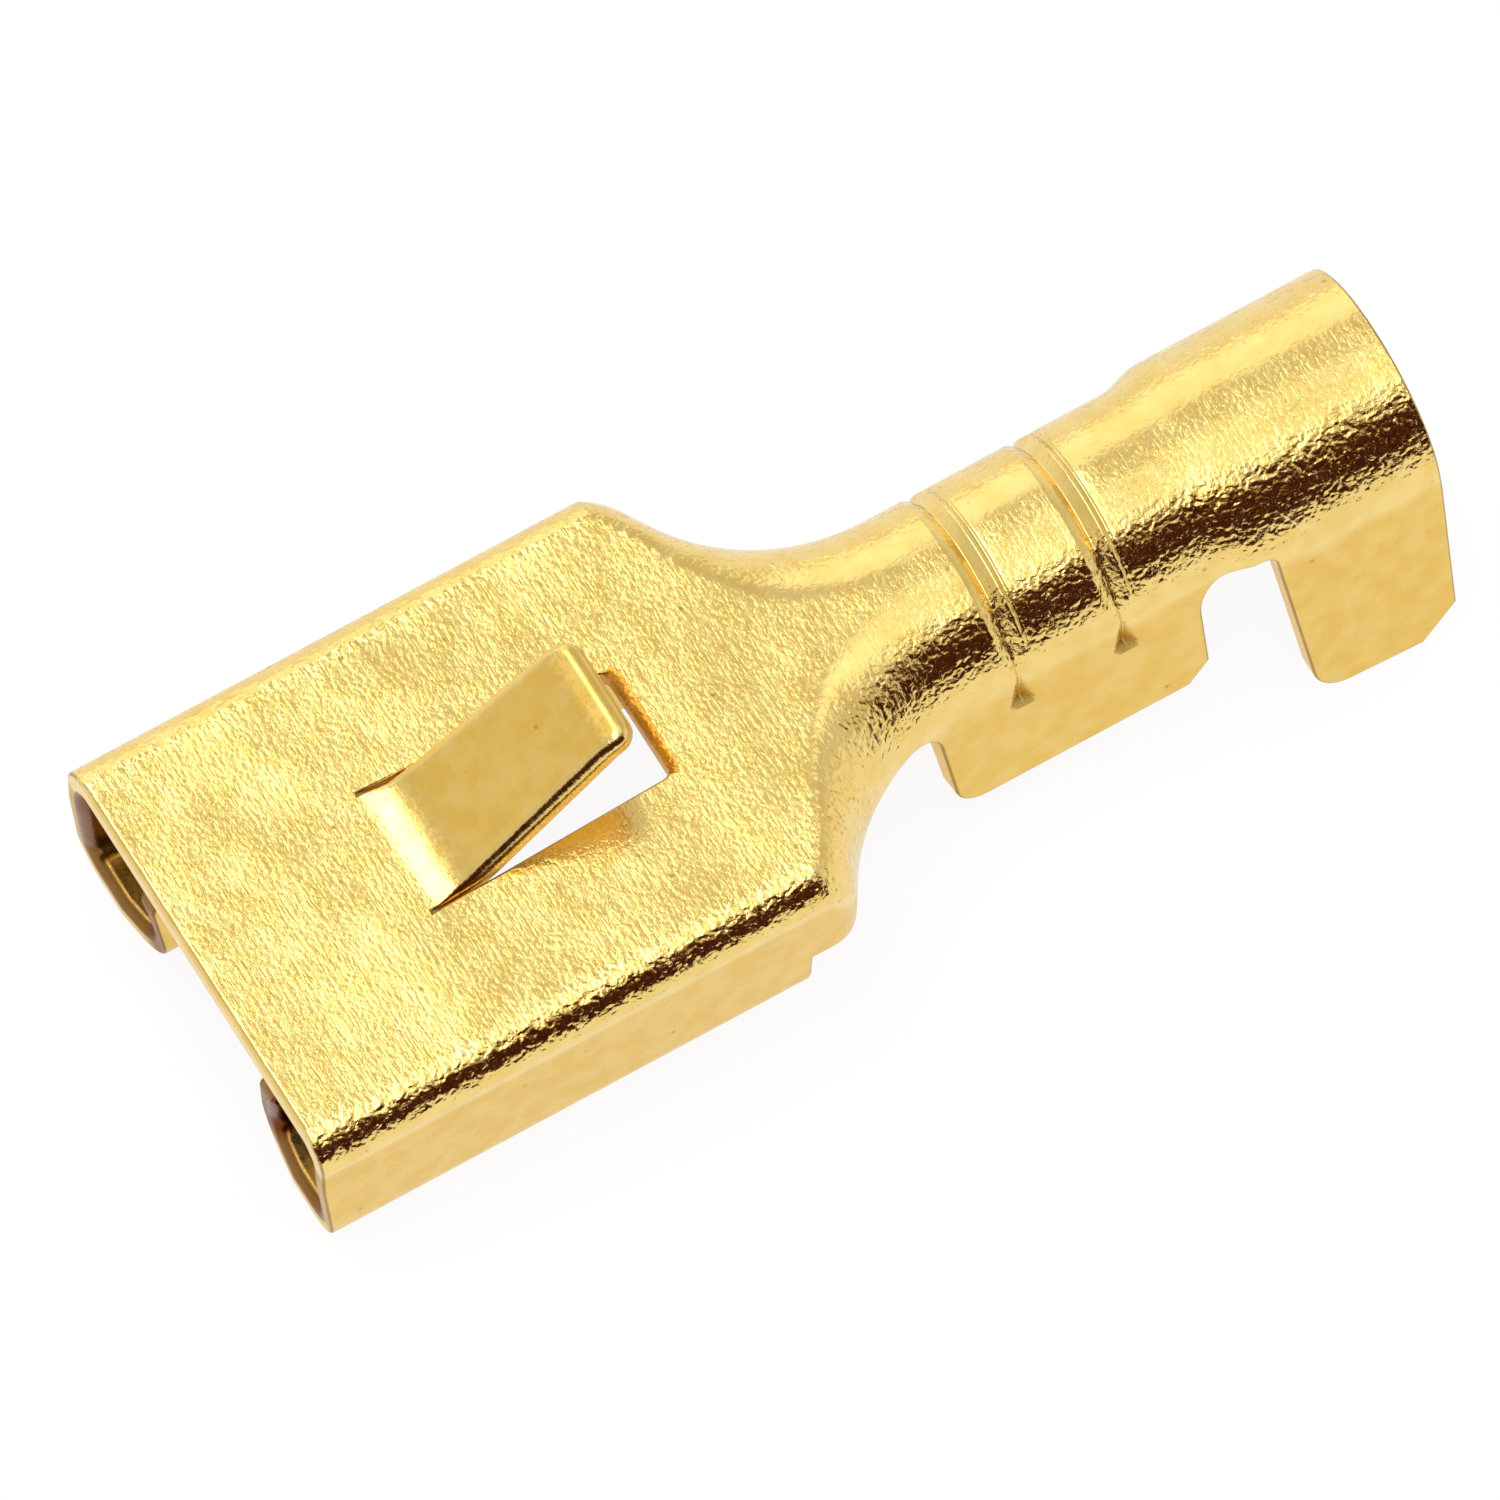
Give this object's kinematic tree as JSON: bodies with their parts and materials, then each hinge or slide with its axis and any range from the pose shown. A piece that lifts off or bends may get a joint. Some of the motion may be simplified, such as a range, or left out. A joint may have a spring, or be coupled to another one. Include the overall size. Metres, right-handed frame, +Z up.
{
  "type": "female spade terminal",
  "caption": "Folded brass female spade terminal: rolled receptacle with a raised locking lance, waisted neck, serrated wire barrel and wider insulation barrel, both with open wings.",
  "frame": {"origin": "centre of the bounding box at its bottom, on the surface that the part lies on", "axes": "+X from the mouth towards the wire end, +Y across the part, +Z up. The part lies on the open side of its folds: on the fronts of its two rolls and the front corners of its rear wings. Its floor faces up and is pitched about 6.6 degrees"},
  "size_m": [0.0208, 0.0076, 0.0061],
  "materials": {
    "terminal": "bright stamped brass with a fine grain across the strip"
  },
  "bodies": {
    "root": {"terminal": "terminal"}
  },
  "joints": []
}
